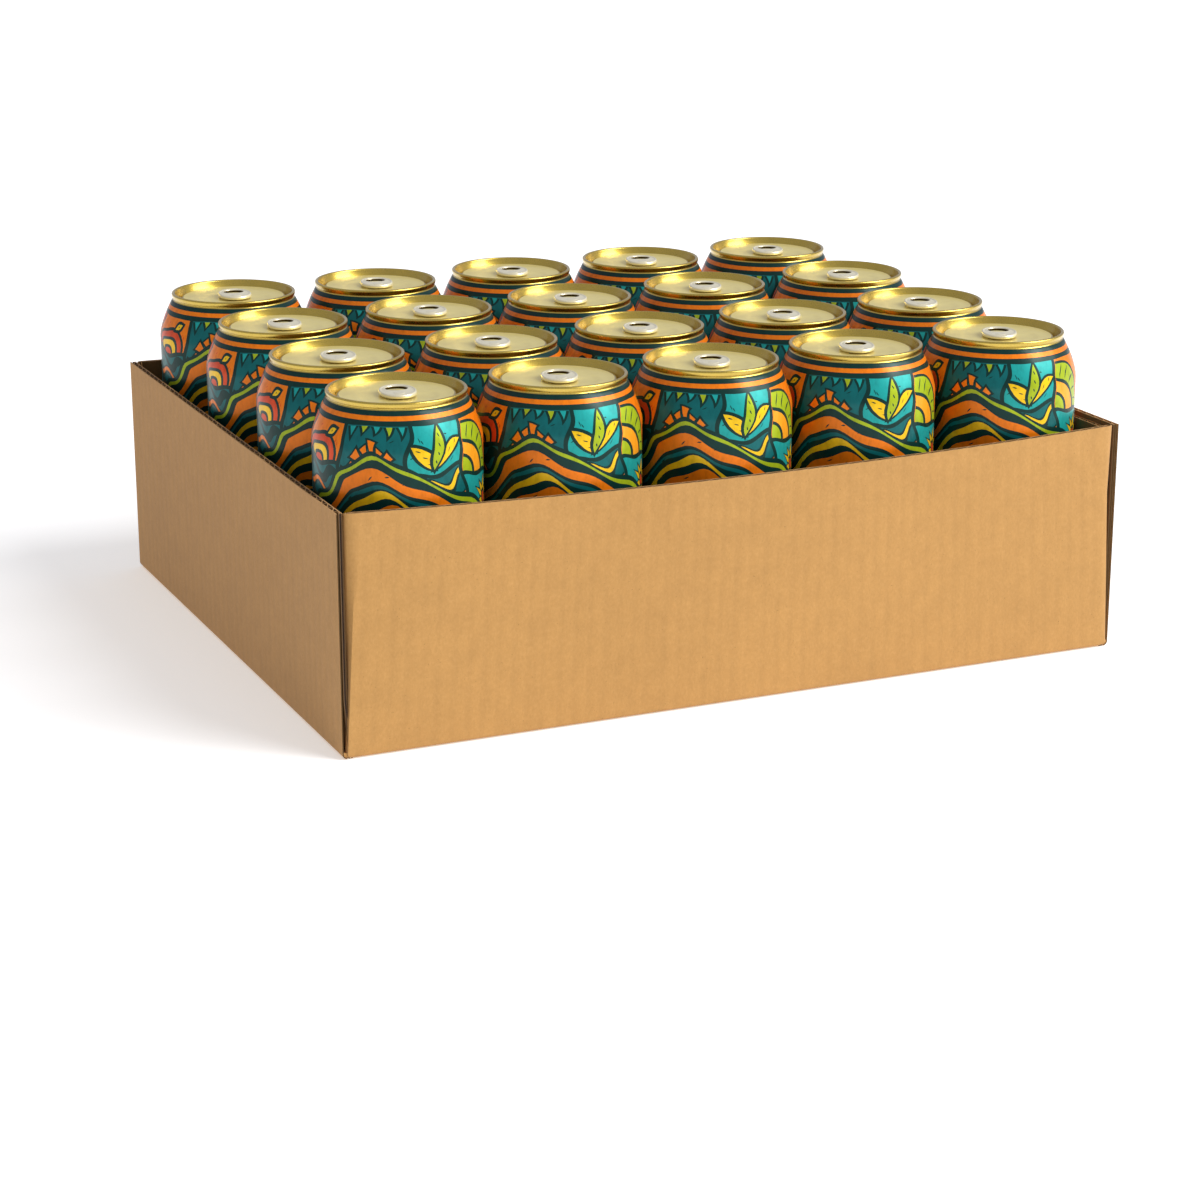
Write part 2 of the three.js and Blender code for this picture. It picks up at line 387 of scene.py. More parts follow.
class Artwork:
    """Shapes in the order they are painted, each an ink and a closed outline."""

    def __init__(self):
        self.shapes = []
        self.random = random.Random(5)

    def add(self, ink, points):
        outline = subdivided([(float(u), float(v)) for u, v in points])
        self.shapes.append((ink, simplified([hand_drawn(u, v) for u, v in outline])))

    def band(self, ink, places, low, high):
        """A strip between two lines over the same places."""
        self.add(ink, [*zip(places, low), *reversed(list(zip(places, high)))])

    def box(self, ink, u0, v0, u1, v1):
        self.add(ink, [(u0, v0), (u1, v0), (u1, v1), (u0, v1)])

    def disc(self, ink, u, v, radius, sides=18):
        self.add(ink, arc(u, v, radius, 0, 360, sides)[:-1])

    def wedge(self, ink, u, v, inner, outer, start, end, steps=12):
        """Part of a ring between two angles in degrees."""
        back = arc(u, v, inner, end, start, steps) if inner > 0 else [(u, v)]
        self.add(ink, arc(u, v, outer, start, end, steps) + back)

    def leaf(self, ink, u, v, length, width, angle, steps=9, bend=0.0):
        """A pointed oval whose long axis lies at angle degrees, bent to one side."""
        upper, lower = [], []
        for i in range(steps + 1):
            share = i / steps
            x = (share - 0.5) * length
            arch = bend * math.sin(math.pi * share)
            half = math.sin(math.pi * share) * width / 2
            upper.append((x, arch + half))
            lower.append((x, arch - half))
        self.add(ink, [moved(u, v, x, y, angle) for x, y in upper + lower[-2:0:-1]])

    def lined_leaf(self, ink, u, v, length, width, angle, bend=0.0):
        """A leaf with an outline and a row of cut marks along its middle."""
        self.leaf("deep", u, v, length + 3 * OUTLINE, width + 2 * OUTLINE, angle, bend=bend)
        self.leaf(ink, u, v, length, width, angle, bend=bend)
        marks = max(1, int(length / 3.4))
        for i in range(marks):
            x = (i + 0.5) / marks * length * 0.8 - length * 0.4
            y = bend * math.sin(math.pi * (x / length + 0.5))
            self.leaf("deep", *moved(u, v, x, y, angle), min(2.0, width * 0.45), 0.5, angle + 32, steps=3)

    def ticks(self, ink, u0, v0, u1, v1, count):
        """Short cut marks strewn over a box."""
        for _ in range(count):
            u = self.random.uniform(u0 + 1.6, u1 - 1.6)
            v = self.random.uniform(v0 + 1.4, v1 - 1.4)
            angle = self.random.choice([20, 35, 60, 110, 150]) + self.random.uniform(-12, 12)
            self.leaf(ink, u, v, self.random.uniform(1.3, 2.3), 0.5, angle, steps=3)


def star(art, u0, v0, u1, v1, main, accent):
    """Eight pointed rays of two lengths round a disc."""
    u, v = (u0 + u1) / 2, (v0 + v1) / 2
    reach = min(u1 - u0, v1 - v0) / 2 - 0.4
    for ink, grow in (("deep", OUTLINE), (main, 0.0)):
        for i in range(8):
            turn = math.radians(45 * i + 22.5)
            far = reach * (1.0 if i % 2 else 0.84)
            waist = far * 0.58
            spread = math.radians(17) + grow / waist
            art.add(ink, [
                (u, v),
                polar(u, v, waist, turn - spread),
                polar(u, v, far + grow * 1.2, turn),
                polar(u, v, waist, turn + spread),
            ])
    art.disc("deep", u, v, reach * 0.24 + OUTLINE)
    art.disc(accent, u, v, reach * 0.24)


def arches(art, u0, v0, u1, v1, main, accent):
    """Nested arches standing side by side on the cell's bottom edge, with small leaves above."""
    count = max(1, round((u1 - u0) / (v1 - v0) / 1.5))
    width = (u1 - u0) / count
    for k in range(count):
        u = u0 + width * (k + 0.5)
        radius = min(width / 2, v1 - v0) - 0.2
        for ink in (main, accent, main, accent):
            if radius > 1.8:
                art.wedge("deep", u, v0, 0, radius, 0, 180)
                art.wedge(ink, u, v0, 0, radius - OUTLINE, 0, 180)
            radius -= 3.4
    for k in range(count):
        art.lined_leaf(accent, u0 + width * (k + 0.72), v1 - 3.0, 5.2, 2.2, 24)


def leaves(art, u0, v0, u1, v1, main, accent):
    """Three leaves spread like a fan from the middle of the bottom edge."""
    u, v = (u0 + u1) / 2, v0 + (v1 - v0) * 0.12
    length = min(v1 - v0, (u1 - u0) * 0.85)
    for angle, ink, size, bend in ((34, main, 0.78, 1.2), (146, main, 0.78, -1.2), (90, accent, 0.88, 0)):
        at = polar(u, v, length * size / 2, math.radians(angle))
        art.lined_leaf(ink, *at, length * size, length * 0.27, angle, bend)


def chevrons(art, u0, v0, u1, v1, main, accent):
    """Zigzag bands across the cell."""
    teeth = max(2, round((u1 - u0) / 11))
    places = np.linspace(u0, u1, 2 * teeth + 1)
    rise = min(4.2, (v1 - v0) * 0.24)
    count = max(2, int((v1 - v0) / 5.4))
    half = 1.3
    for k in range(count):
        base = v0 + (v1 - v0 - rise) * (k + 0.5) / count
        zigzag = base + rise * (np.arange(len(places)) % 2)
        art.band(("deep", main, accent)[k % 3], places, zigzag - half, zigzag + half)


def fan(art, u0, v0, u1, v1, main, accent):
    """Quarter rings spreading from one bottom corner, split by rays."""
    reach = min(u1 - u0, v1 - v0) * 0.98
    for inner, outer, ink in ((0.64, 0.94, main), (0.34, 0.57, accent), (0.0, 0.27, main)):
        art.wedge("deep", u0, v0, 0, outer * reach + OUTLINE, 0, 90)
        art.wedge(ink, u0, v0, inner * reach, outer * reach, 0, 90)
    for angle in (12, 28.5, 45, 61.5, 78):
        at = polar(u0, v0, 0.79 * reach, math.radians(angle))
        art.leaf("deep", *at, 0.28 * reach, 0.9, angle, steps=4)
    art.lined_leaf(accent, u1 - 4.2, v1 - 4.2, 7.0, 3.0, 135)


def scallops(art, u0, v0, u1, v1, main, accent):
    """Rows of half discs like roof tiles."""
    across = max(2, round((u1 - u0) / 9))
    width = (u1 - u0) / across
    rows = max(2, round((v1 - v0) / (width * 0.6)))
    for row in range(rows, 0, -1):
        v = v0 + (v1 - v0) * (row - 1) / rows
        offset = row % 2
        for k in range(across + 1 - offset):
            u = u0 + width * (k + 0.5 * offset)
            start = 90 if u > u1 - 0.1 else 0
            end = 90 if u < u0 + 0.1 else 180
            radius = min(width / 2, v1 - v)
            inks = (main, accent) if (row + k) % 2 else (accent, main)
            for share, ink in zip((1.0, 0.52), inks):
                art.wedge("deep", u, v, 0, radius * share, start, end, 8)
                art.wedge(ink, u, v, 0, radius * share - 0.8, start, end, 8)


def diamonds(art, u0, v0, u1, v1, main, accent):
    """A lattice of diamonds, each with a smaller one inside."""
    across = max(2, round((u1 - u0) / 10))
    down = max(1, round((v1 - v0) / 11))
    half_u = (u1 - u0) / across / 2
    half_v = (v1 - v0) / down / 2
    for i in range(across):
        for j in range(down):
            u = u0 + half_u * (2 * i + 1)
            v = v0 + half_v * (2 * j + 1)
            for share, ink in ((1.0, "deep"), (0.80, main), (0.46, "deep"), (0.28, accent)):
                a, b = half_u * share, half_v * share
                art.add(ink, [(u - a, v), (u, v - b), (u + a, v), (u, v + b)])


def drops(art, u0, v0, u1, v1, main, accent):
    """Slanting pods in two alternating inks."""
    across = max(2, round((u1 - u0) / 7.0))
    down = max(2, round((v1 - v0) / 8.0))
    for i in range(across):
        for j in range(down):
            u = u0 + (u1 - u0) * (i + 0.5) / across
            v = v0 + (v1 - v0) * (j + 0.5) / down
            ink = main if (i + j) % 2 else accent
            art.lined_leaf(ink, u, v, 6.6, 3.0, 62 if i % 2 else 118)


def dawn(art, u0, v0, u1, v1, main, accent):
    """A half disc on the bottom edge with rays up to the cell's other edges."""
    u = (u0 + u1) / 2
    reach = min((u1 - u0) / 2, v1 - v0) - 0.3
    for k in range(9):
        turn = math.radians(10 + 20 * k)
        near, far = reach * 0.60, reach * (1.0 if k % 2 == 0 else 0.86)
        for ink, extra in (("deep", OUTLINE * 0.8), (main, 0.0)):
            spread = math.radians(7.4) + extra / far
            tip = far + extra
            art.add(ink, [
                polar(u, v0, near, turn - spread * 0.6),
                polar(u, v0, tip, turn - spread),
                polar(u, v0, tip, turn + spread),
                polar(u, v0, near, turn + spread * 0.6),
            ])
    for share, ink in ((0.56, "deep"), (0.47, accent), (0.30, "deep"), (0.21, main)):
        art.wedge(ink, u, v0, 0, reach * share, 0, 180, 14)
    if v1 - v0 > reach + 4:
        teeth = max(3, round((u1 - u0) / 5.2))
        width = (u1 - u0) / teeth
        for k in range(teeth):
            left = u0 + width * k
            for ink, margin in (("deep", 0.0), (("teal", "lime")[k % 2], OUTLINE)):
                art.add(ink, [
                    (left + margin, v1),
                    (left + width / 2, v1 - 5.6 + 1.7 * margin),
                    (left + width - margin, v1),
                ])


def waves(art, u0, v0, u1, v1, main, accent):
    """Rolling bands across the cell, each with a darker line under it."""
    count = max(3, round((v1 - v0) / 5.6))
    pitch = (v1 - v0) / count
    places = np.linspace(u0, u1, 17)
    for k in range(count):
        turns = (places - u0) / (u1 - u0) * math.tau * 1.5 + 2.1 * k
        line = v0 + pitch * (k + 0.5 + 0.26 * np.sin(turns))
        for ink, low, high in (("deep", -0.30, 0.30), (main if k % 2 else accent, -0.12, 0.16)):
            art.band(ink, places, line + low * pitch, line + high * pitch)


# Each column of the drawing from the top down, its cells as: height, field, motif, main ink, second ink
COLUMN_CELLS = [
    (25, [
        (20, "yellow", drops, "orange", "red"), (22, "petrol", arches, "amber", "orange"),
        (26, "orange", leaves, "yellow", "lime"), (22, "lime", diamonds, "yellow", "teal"),
        (22, "red", scallops, "orange", "amber"),
    ]),
    (27, [
        (18, "red", leaves, "yellow", "orange"), (26, "petrol", star, "teal", "orange"),
        (23, "lime", dawn, "yellow", "orange"), (24, "teal", leaves, "lime", "yellow"),
        (21, "amber", fan, "red", "yellow"),
    ]),
    (24, [
        (16, "orange", arches, "red", "yellow"), (26, "petrol", waves, "deep", "orange"),
        (25, "teal", star, "lime", "yellow"), (22, "orange", arches, "yellow", "red"),
        (23, "teal", chevrons, "lime", "amber"),
    ]),
    (28, [
        (22, "petrol", dawn, "orange", "yellow"), (19, "teal", chevrons, "lime", "yellow"),
        (26, "amber", drops, "red", "orange"), (21, "teal", dawn, "orange", "yellow"),
        (24, "lime", leaves, "orange", "yellow"),
    ]),
    (23, [
        (19, "teal", leaves, "yellow", "lime"), (21, "petrol", waves, "orange", "yellow"),
        (27, "teal", star, "lime", "yellow"), (24, "amber", diamonds, "orange", "yellow"),
        (21, "yellow", dawn, "orange", "red"),
    ]),
    (30, [
        (24, "orange", fan, "lime", "amber"), (20, "teal", star, "yellow", "red"),
        (24, "orange", diamonds, "yellow", "red"), (21, "yellow", scallops, "lime", "orange"),
        (23, "teal", arches, "lime", "orange"),
    ]),
    (24, [
        (20, "lime", scallops, "yellow", "orange"), (23, "orange", dawn, "yellow", "red"),
        (24, "teal", drops, "yellow", "lime"), (23, "red", chevrons, "amber", "yellow"),
        (22, "orange", star, "yellow", "lime"),
    ]),
    (27, [
        (23, "orange", star, "yellow", "red"), (21, "lime", leaves, "yellow", "teal"),
        (25, "red", arches, "amber", "yellow"), (22, "yellow", fan, "orange", "red"),
        (21, "teal", diamonds, "amber", "lime"),
    ]),
]
TICKED_ABOVE = 52.0


def paint_cells(art):
    u1 = 0.0
    for width, cells in COLUMN_CELLS:
        u0, u1 = u1, u1 + width
        total = sum(cell[0] for cell in cells)
        v0 = FIELD_HIGH
        for height, field, motif, main, accent in cells:
            v1 = v0
            v0 = v1 - (FIELD_HIGH - FIELD_LOW) * height / total
            cell = (u0 + GROUT / 2, v0 + GROUT / 2, u1 - GROUT / 2, v1 - GROUT / 2)
            art.box(field, *cell)
            if v0 > TICKED_ABOVE:
                art.ticks("deep" if field in ("petrol", "teal", "lime") else "red", *cell, 10)
            motif(art, cell[0] + 0.2, cell[1], cell[2] - 0.2, cell[3] - 0.4, main, accent)


def paint_sash(art):
    """A dark sash with bold ribbons and thin lines, winding up and down round the can."""
    places = np.linspace(0, ART_WIDTH, 105)
    around = math.tau * places / ART_WIDTH
    middle = 80 + 12.5 * np.sin(2 * around - 4.0)
    ripple = 1.0 * np.sin(6 * around)
    swell = 0.9 * np.sin(5 * around + 1.0)

    for ink, low, high in (
        ("deep", -14.0, 14.2),
        ("lime", 10.8, 12.4),
        ("orange", ripple + 3.4, ripple + swell + 7.4),
        ("petrol", ripple + 0.6, ripple + 2.0),
        ("yellow", swell - 4.3, swell - 1.5),
        ("orange", -swell - 10.4, -ripple - 7.0),
    ):
        art.band(ink, places, middle + low, middle + high)
    for k in range(3, len(places) - 3, 3):
        for level in (5.4, -8.6):
            art.leaf("deep", places[k] + level, middle[k] + level, 2.1, 0.6, 36, steps=3)


def paint_stripes(art):
    """Straight bands round the top and bottom, with a hair line under the lower one."""
    art.box("orange", 0, 3.2, ART_WIDTH, 5.4)
    art.box("amber", 0, 2.2, ART_WIDTH, 2.6)
    art.box("orange", 0, ART_HEIGHT - 4.0, ART_WIDTH, ART_HEIGHT - 2.1)


def draw_artwork():
    art = Artwork()
    paint_stripes(art)
    paint_cells(art)
    paint_sash(art)
    return art.shapes


# Can mesh

def art_rows():
    """Heights along the side where every can has a full ring of points."""
    body_start, body_end = np.interp([BODY_BOTTOM, SHOULDER_BOTTOM], SIDE_HEIGHT, SIDE_ALONG)
    return np.concatenate([
        np.linspace(0, body_start, 5),
        np.linspace(body_start, body_end, 7)[1:],
        np.linspace(body_end, ART_HEIGHT, 13)[1:],
    ])


def side_at(along):
    """Radius and height at a distance along the printed side."""
    return np.interp(along, SIDE_ALONG, SIDE_RADIUS), np.interp(along, SIDE_ALONG, SIDE_HEIGHT)


def wrapped(u, along):
    """A point of the unrolled side on the can, and its outward normal."""
    angle = math.tau * (u - FRONT_U) / ART_WIDTH - math.pi / 2
    radius, height = side_at(along)
    step = 0.4
    behind, ahead = side_at(max(along - step, 0)), side_at(min(along + step, ART_HEIGHT))
    spread, rise = ahead[0] - behind[0], ahead[1] - behind[1]
    normal = Vector((*polar(0, 0, rise, angle), -spread)).normalized()
    return (*polar(0, 0, radius, angle), height), normal


def covered(places, outline):
    """Which places lie inside an outline."""
    x, y = places[:, 0], places[:, 1]
    inside = np.zeros(len(places), bool)
    for (x0, y0), (x1, y1) in zip(outline, outline[1:] + outline[:1]):
        if y0 == y1:
            continue
        crosses = (y0 > y) != (y1 > y)
        inside ^= crosses & (x < x0 + (y - y0) * (x1 - x0) / (y1 - y0))
    return inside


def inks_over(flat, triangles, shapes):
    """The ink that is painted last over each triangle."""
    middles = flat[np.array(triangles)].mean(axis=1)
    inks = np.full(len(triangles), "deep", dtype="<U9")
    for ink, outline in shapes:
        low, high = np.min(outline, axis=0), np.max(outline, axis=0)
        near = np.flatnonzero(((middles > low) & (middles < high)).all(axis=1))
        inks[near[covered(middles[near], outline)]] = ink
    return list(inks)


def ink_borders(triangles, inks):
    """Edges that lie between two inks or at the drawing's rim."""
    sides = {}
    for corners, ink in zip(triangles, inks):
        for k in range(3):
            edge = tuple(sorted((corners[k], corners[k - 1])))
            sides.setdefault(edge, []).append(ink)
    return [edge for edge, found in sides.items() if len(found) == 1 or found[0] != found[1]]


def triangulated(points, edges, faces):
    """Points and triangles inside the faces, cut along every edge."""
    inside_only, join_within = 1, 1e-5
    result = delaunay_2d_cdt(points, edges, faces, inside_only, join_within)
    return result[0], result[2]


def printed_side():
    """Points and triangles of the printed side, cut where the ink changes, and each triangle's ink."""
    ring = [ART_WIDTH * i / CAN_SIDES for i in range(CAN_SIDES + 1)]
    rows = art_rows()
    rim = [(u, 0.0) for u in ring]
    rim += [(ART_WIDTH, v) for v in rows[1:-1]]
    rim += [(u, ART_HEIGHT) for u in reversed(ring)]
    rim += [(0.0, v) for v in rows[-2:0:-1]]
    shapes = draw_artwork()
    points, faces = [], []
    for outline in [rim] + [outline for _, outline in shapes]:
        faces.append(list(range(len(points), len(points) + len(outline))))
        points.extend(Vector(p) for p in outline)
    flat, triangles = triangulated(points, [], faces)
    borders = ink_borders(triangles, inks_over(np.array(flat), triangles, shapes))
    corners = list(dict.fromkeys(corner for edge in borders for corner in edge))
    place_of = {corner: len(rim) + k for k, corner in enumerate(corners)}
    edges = [[place_of[corner] for corner in edge] for edge in borders]
    points = [Vector(p) for p in rim] + [flat[corner] for corner in corners]
    points += [Vector((u, v)) for v in rows[1:-1] for u in ring[1:-1]]
    flat, triangles = triangulated(points, edges, [list(range(len(rim)))])
    inks = inks_over(np.array(flat), triangles, shapes)
    return [(float(u), float(v)) for u, v in flat], triangles, inks


def smooth_mesh(name, points, faces, materials, indices):
    """A smooth mesh from points in millimetres, with the index of each face's material."""
    mesh = bpy.data.meshes.new(name)
    mesh.from_pydata([[c * MM for c in point] for point in points], [], faces)
    for material in materials:
        mesh.materials.append(material)
    mesh.polygons.foreach_set("material_index", indices)
    mesh.polygons.foreach_set("use_smooth", [True] * len(faces))
    return mesh


class MeshParts:
    """Points, normals and faces gathered piece by piece into one mesh."""

    def __init__(self):
        self.points, self.normals, self.faces = [], [], []
        self.materials, self.inks = [], []

    def add(self, points, normals, faces, material, inks=None):
        """Faces with one material's index, or with a list of them."""
        base = len(self.points)
        self.points += points
        self.normals += normals
        self.faces += [[base + i for i in face] for face in faces]
        self.materials += material if isinstance(material, list) else [material] * len(faces)
        self.inks += inks if inks is not None else ["deep"] * len(faces)

    def mesh(self, name, materials):
        """The mesh, with points that lie together joined."""
        place_of, points, normals, index = {}, [], [], []
        for point, normal in zip(self.points, self.normals):
            key = tuple(round(c * 2000) for c in point)
            if key not in place_of:
                place_of[key] = len(points)
                points.append(point)
                normals.append(Vector((0, 0, 0)))
            normals[place_of[key]] += Vector(normal)
            index.append(place_of[key])
        kept = {}
        for k, face in enumerate(self.faces):
            corners = [index[i] for i in face]
            corners = [c for i, c in enumerate(corners) if c != corners[i - 1]]
            if len(corners) >= 3 and len(set(corners)) == len(corners):
                kept[k] = corners
        faces, indices = list(kept.values()), [self.materials[k] for k in kept]
        mesh = smooth_mesh(name, points, faces, materials, indices)
        ink = mesh.color_attributes.new("ink", "FLOAT_COLOR", "CORNER")
        colours = {name: linear_colour(rgb) for name, rgb in INKS.items()}
        values = []
        for k, face in kept.items():
            values.extend(colours[self.inks[k]] * len(face))
        ink.data.foreach_set("color", values)
        mesh.update()
        mesh.normals_split_custom_set_from_vertices([n.normalized() for n in normals])
        return mesh


def ring_angles(sides):
    """The turns of a ring's points, which start at the print's seam."""
    return [math.tau * (i / sides - FRONT_U / ART_WIDTH) - math.pi / 2 for i in range(sides)]


def ring_faces(rows, sides):
    """The faces between rings of points that follow one another."""
    faces = []
    for low in range(0, (rows - 1) * sides, sides):
        for i in range(sides):
            j = (i + 1) % sides
            faces.append([low + i, low + j, low + sides + j, low + sides + i])
    return faces


def lathe(profile, sides=CAN_SIDES):
    """Rings round Z from a line of (radius, height) that runs with the outside on its right."""
    points, normals = [], []
    count = len(profile)
    for k, (radius, height) in enumerate(profile):
        before, after = profile[max(k - 1, 0)], profile[min(k + 1, count - 1)]
        spread, rise = after[0] - before[0], after[1] - before[1]
        for angle in ring_angles(sides):
            points.append((*polar(0, 0, radius, angle), height))
            normals.append(Vector((*polar(0, 0, rise, angle), -spread)).normalized())
    return points, normals, ring_faces(count, sides)


SEAM_RADIUS = 27.45
WELL_DEPTH = 1.8
PANEL_EDGE = 22.2


def seam_profile():
    """From the print's top edge over the double seam, down the chuck wall and up to the end panel."""
    top, under = CAN_HEIGHT, CAN_HEIGHT - SEAM_HEIGHT
    profile = [(float(SIDE_RADIUS[-1]), PRINT_TOP), (NECK_RADIUS - 0.05, PRINT_TOP + 0.25)]
    profile += [(NECK_RADIUS + 0.05, under - 0.05), (SEAM_RADIUS - 0.42, under + 0.12)]
    profile += [(SEAM_RADIUS - 0.26, under + 0.4), (SEAM_RADIUS - 0.04, top - 1.25)]
    profile += arc(SEAM_RADIUS - 0.75, top - 0.75, 0.75, -5, 165, 10)
    profile += [(SEAM_RADIUS - 1.62, top - 1.3), (SEAM_RADIUS - 2.05, top - 2.6), (24.75, top - 4.3)]
    profile += arc(23.97, top - 4.45, 0.72, -10, -170, 8)
    profile += arc(22.46, top - 3.0, 0.6, 0, 90, 5)
    return profile + [(PANEL_EDGE, PANEL_HEIGHT)]


def base_profile():
    """From the middle of the domed base, over its rim, up to the print's bottom edge."""
    radius, rise, foot, steps = 23.6, 10.0, 0.9, 9
    shares = [i / steps for i in range(1, steps + 1)]
    profile = [(radius * share, foot + rise * (1 - share ** 2)) for share in shares]
    profile += arc(24.9, 0.75, 0.75, 180, 330, 6)
    profile += [(26.1, 1.5), (26.7, 2.9), (27.2, 4.1), (27.9, 4.9), (28.9, 5.55)]
    return profile + [(PRINT_BOTTOM_RADIUS, PRINT_BOTTOM)]


def smooth_step(value, low, high):
    share = min(1.0, max(0.0, (value - low) / (high - low)))
    return share * share * (3 - 2 * share)


def panel_relief(x, y):
    """Height of the end panel's pressed details above its plane, in millimetres."""
    height = -0.2 * (1 - smooth_step(math.hypot(x / 15.5, (y + 2.2) / 17.8), 0.88, 1.06))
    opening = math.hypot(x / 8.6, (y + 14.2) / 4.6)
    height -= 0.07 * math.exp(-((opening - 1.0) / 0.09) ** 2)
    well = math.hypot(x / 5.7, (y - HOLE_Y) / 4.3)
    height -= WELL_DEPTH * (1 - smooth_step(well, 0.70, 1.06))
    return height


def end_panel():
    """The end panel as rings with pressed relief, down to its middle."""
    radii = [*np.linspace(PANEL_EDGE, 1.0, 30), 0.0]
    points, normals = [], []
    step = 0.15
    for radius in radii:
        for angle in ring_angles(CAN_SIDES):
            x, y = polar(0, 0, radius, angle)
            points.append((x, y, PANEL_HEIGHT + panel_relief(x, y)))
            slope_x = (panel_relief(x + step, y) - panel_relief(x - step, y)) / (2 * step)
            slope_y = (panel_relief(x, y + step) - panel_relief(x, y - step)) / (2 * step)
            normals.append(Vector((-slope_x, -slope_y, 1)).normalized())
    return points, normals, ring_faces(len(radii), CAN_SIDES)


def can_mesh(materials):
    """A can with the materials print, seam, end panel and finger well. The end panel's paler gold is painted
    light, and the finger well's dark gold is painted shade.
    """
    parts = MeshParts()
    flat, triangles, inks = printed_side()
    placed = [wrapped(u, v) for u, v in flat]
    parts.add([p for p, _ in placed], [n for _, n in placed], [list(t) for t in triangles], 0, inks)
    parts.add(*lathe(base_profile()), 1)
    parts.add(*lathe(seam_profile()), 1)
    # The end panel takes the paler gold, which is painted light.
    points, normals, faces = end_panel()
    # Faces of the end panel that lie deep in the finger well take the dark gold: painted shade.
    shade_below = PANEL_HEIGHT - WELL_DEPTH * 0.35
    parts.add(points, normals, faces, [3 if points[face[0]][2] < shade_below else 2 for face in faces])
    closing = base_profile()[0]
    count = CAN_SIDES
    ring = lathe([closing, closing])[0][:count]
    centre = (0.0, 0.0, closing[1] + 0.05)
    faces = [[(i + 1) % count, i, count] for i in range(count)]
    parts.add(ring + [centre], [Vector((0, 0, -1))] * (count + 1), faces, 1)
    return parts.mesh("can", materials)


# Ring tab mesh

TAB_HALF_WIDTH = 7.3
TAB_HALF_LENGTH = 9.3
TAB_Y = -3.0
HOLE_HALF_WIDTH = 4.3
HOLE_HALF_LENGTH = 3.5
HOLE_Y = TAB_Y + 3.3
RIVET_Y = TAB_Y - 4.4
NOSE_SHARE = 0.86
TAB_STEPS = 72
RIVET_SIDES = 32

# The tab's section from the finger hole (share 0) to the outer edge (share 1): share, millimetres on, height.
# The first stretches are the hole's own wall.
TAB_SECTION = [
    (0, 0.12, 0.50), (0, 0.0, 1.05), (0, 0.07, 1.45), (0, 0.30, 1.74), (0, 0.62, 1.84), (0, 1.0, 1.76),
    (0.5, 0.0, 1.60),
    (1, -1.50, 1.66), (1, -1.20, 1.86), (1, -0.80, 1.97), (1, -0.38, 1.84), (1, -0.08, 1.45), (1, 0.0, 1.0),
    (1, -0.12, 0.45), (1, -0.45, 0.08), (1, -0.75, 0.12), (1, -0.95, 0.80),
    (0.5, 0.0, 1.35),
    (0, 0.95, 1.40), (0, 0.50, 0.95),
]
# Stretches of the hole's wall that take the dark gold: painted shade.
SHADED_HOLE_WALL_STEPS = 2


def oval(half_width, half_length, power, angle):
    """A point of a rounded oval."""
    c, s = math.cos(angle), math.sin(angle)
    x = half_width * math.copysign(abs(c) ** power, c)
    return x, half_length * math.copysign(abs(s) ** power, s)


def tab_mesh(materials):
    """A ring tab with the materials metal and hole wall. The hole wall's dark gold is painted shade."""
    parts = MeshParts()
    points, faces, wall = [], [], []
    count = len(TAB_SECTION)
    for step in range(TAB_STEPS):
        angle = math.tau * step / TAB_STEPS
        outer = Vector(oval(TAB_HALF_WIDTH, TAB_HALF_LENGTH, 0.94, angle)) + Vector((0, TAB_Y))
        inner = Vector(oval(HOLE_HALF_WIDTH, HOLE_HALF_LENGTH, 0.90, angle)) + Vector((0, HOLE_Y))
        direction = (outer - inner).normalized()
        for share, offset, height in TAB_SECTION:
            place = inner.lerp(outer, share) + direction * offset
            back = (place.y - TAB_Y + TAB_HALF_LENGTH) / (2 * TAB_HALF_LENGTH)
            points.append((place.x, place.y, height * (NOSE_SHARE + (1 - NOSE_SHARE) * back)))
    for step in range(TAB_STEPS):
        after = (step + 1) % TAB_STEPS
        for k in range(count):
            m = (k + 1) % count
            faces.append([step * count + k, step * count + m, after * count + m, after * count + k])
            # The hole's wall takes the dark gold: painted shade.
            wall.append(1 if k < SHADED_HOLE_WALL_STEPS else 0)
    parts.add(points, vertex_normals(points, faces), faces, wall)
    head = [(2.4, 1.1), (2.3, 1.42), (2.0, 1.60), (1.4, 1.64), (0.9, 1.56), (0.4, 1.52), (0.0, 1.52)]
    foot = [(0.0, -0.3), (1.9, -0.3), (2.1, 0.60), (2.4, 1.1)]
    for profile in (head, foot):
        points, normals, faces = lathe(profile, RIVET_SIDES)
        parts.add([(x, y + RIVET_Y, z) for x, y, z in points], normals, faces, 0)
    return parts.mesh("ring_tab", materials)


def vertex_normals(points, faces):
    """Normals averaged from the faces round each point."""
    places = np.array(points, float)
    sums = np.zeros_like(places)
    for face in faces:
        a, b, c = places[face[0]], places[face[1]], places[face[2]]
        normal = np.cross(b - a, c - a)
        for corner in face:
            sums[corner] += normal
    return [Vector(n).normalized() for n in sums]


# Tray of corrugated board

TRAY_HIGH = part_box("tray")[1]
BOARD = 2.5
LINER = 0.45
MEDIUM = 0.32
WALL_BOW = 4.5
WALL_DIP = 2.4
HALF_WIDTH = TRAY_HIGH.x / MM - 0.02
HALF_DEPTH = TRAY_HIGH.y / MM - WALL_BOW
WALL_TOP = TRAY_HIGH.z / MM
END_INSET_TOP = 3.2
END_INSET_BOTTOM = 0.7
RAW_EDGE_SETBACK = 0.8
FLAP_LENGTH = 66.0
FLAP_SLANT = 6.0
FLAP_TOP_DROP = 2.0
FLAP_BOTTOM = BOARD + 2.5
WALL_BOTTOM = 0.05
CORNER_RISE = 3.2
CORNER_LENGTH = 6.0
FOLD_RADIUS = 1.5
FOLD_CRUSH = 0.42
BOTTOM_FOLD = 2.0
SHEET_SPACING = 1.6
WAVE_SPACING = 0.64


